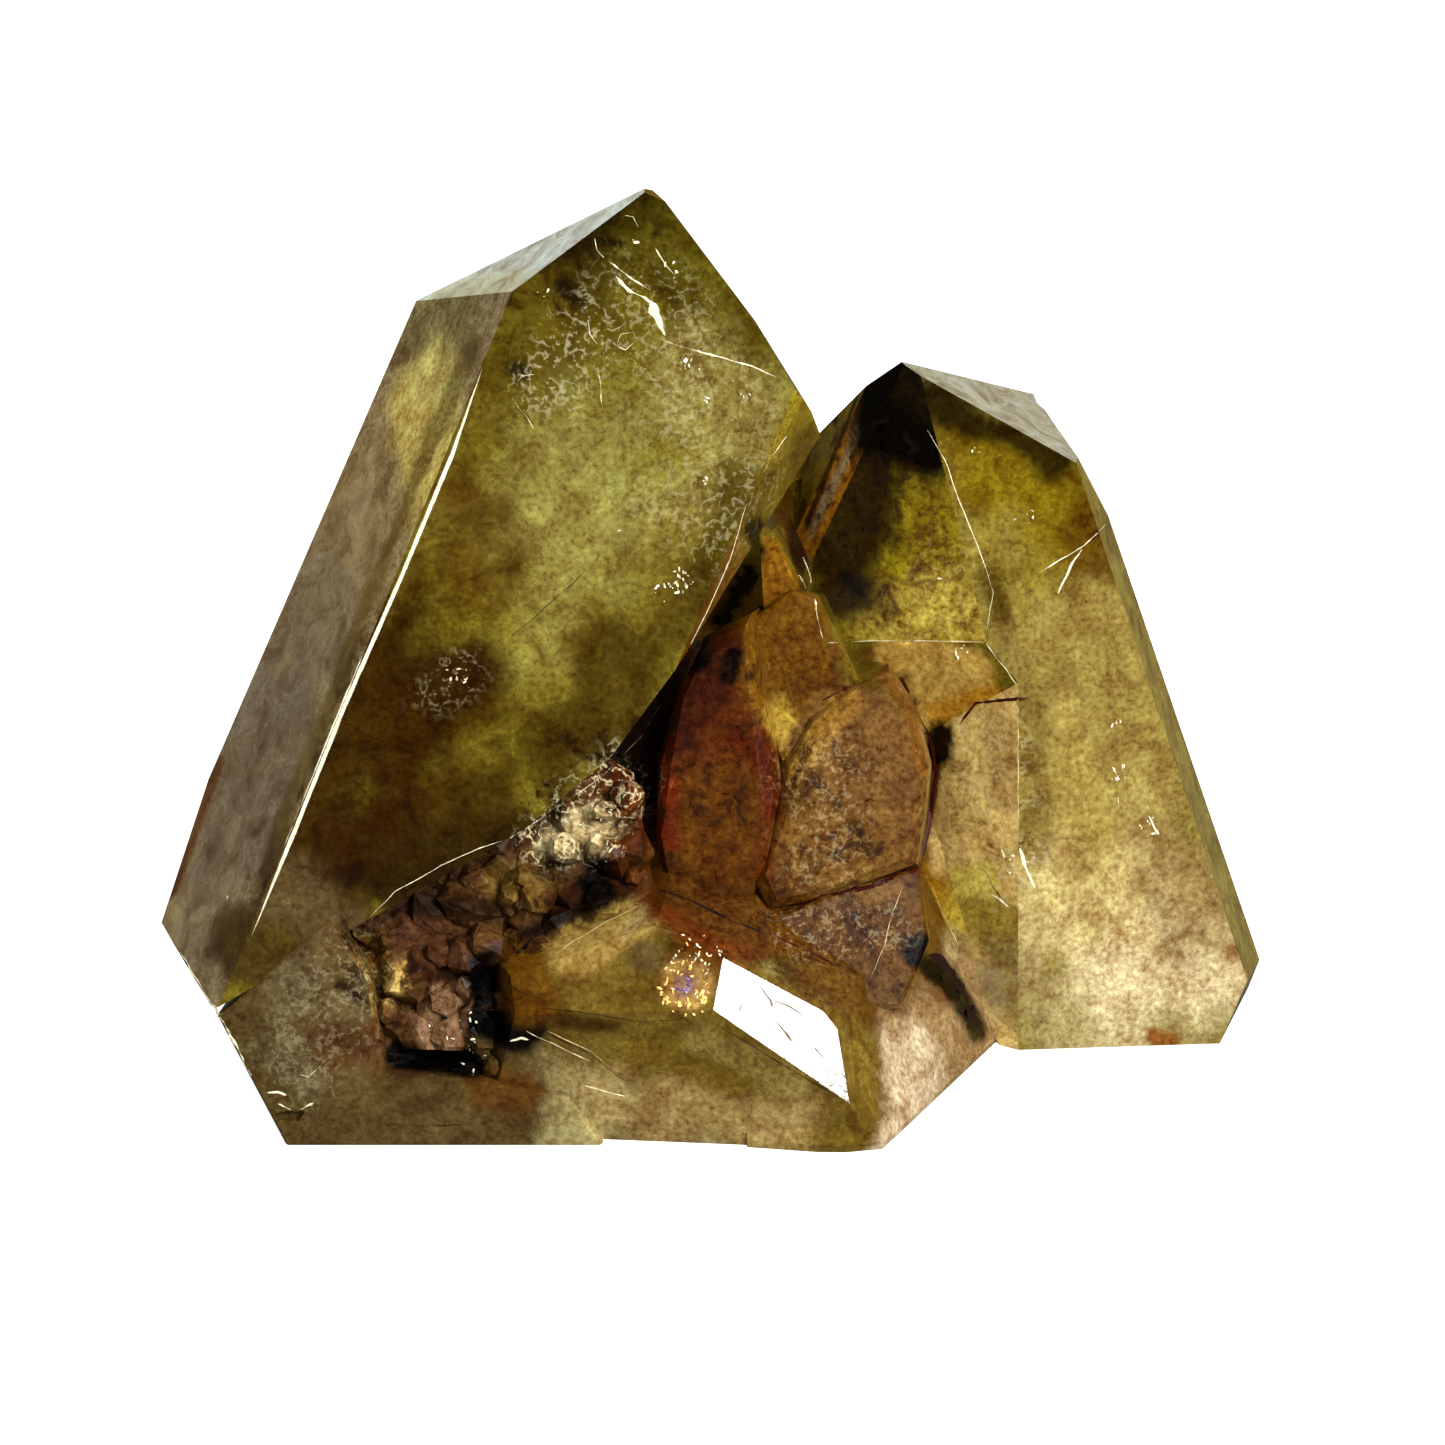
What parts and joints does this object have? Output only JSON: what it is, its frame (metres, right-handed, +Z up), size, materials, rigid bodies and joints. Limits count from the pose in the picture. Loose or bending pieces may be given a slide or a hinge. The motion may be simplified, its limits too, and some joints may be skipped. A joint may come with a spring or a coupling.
{
  "type": "citrine crystal cluster",
  "caption": "Grown-together citrine cluster: large leaning clear points, blocky crystals wedged between them, a crystal lying across the front, and a flat cut base to stand on.",
  "frame": {"origin": "middle of the bounding box, on the flat cut base that the cluster rests on", "axes": "+Z up, +X to the viewer's right along the cluster's width, -Y towards the viewer, where the front crystal lies"},
  "size_m": [0.0848, 0.0466, 0.0674],
  "materials": {
    "citrine": "clear smoky olive-yellow quartz with bright natural faces, veils, rust-stained blocks and druse"
  },
  "bodies": {
    "root": {"citrine_cluster": "citrine"}
  },
  "joints": []
}
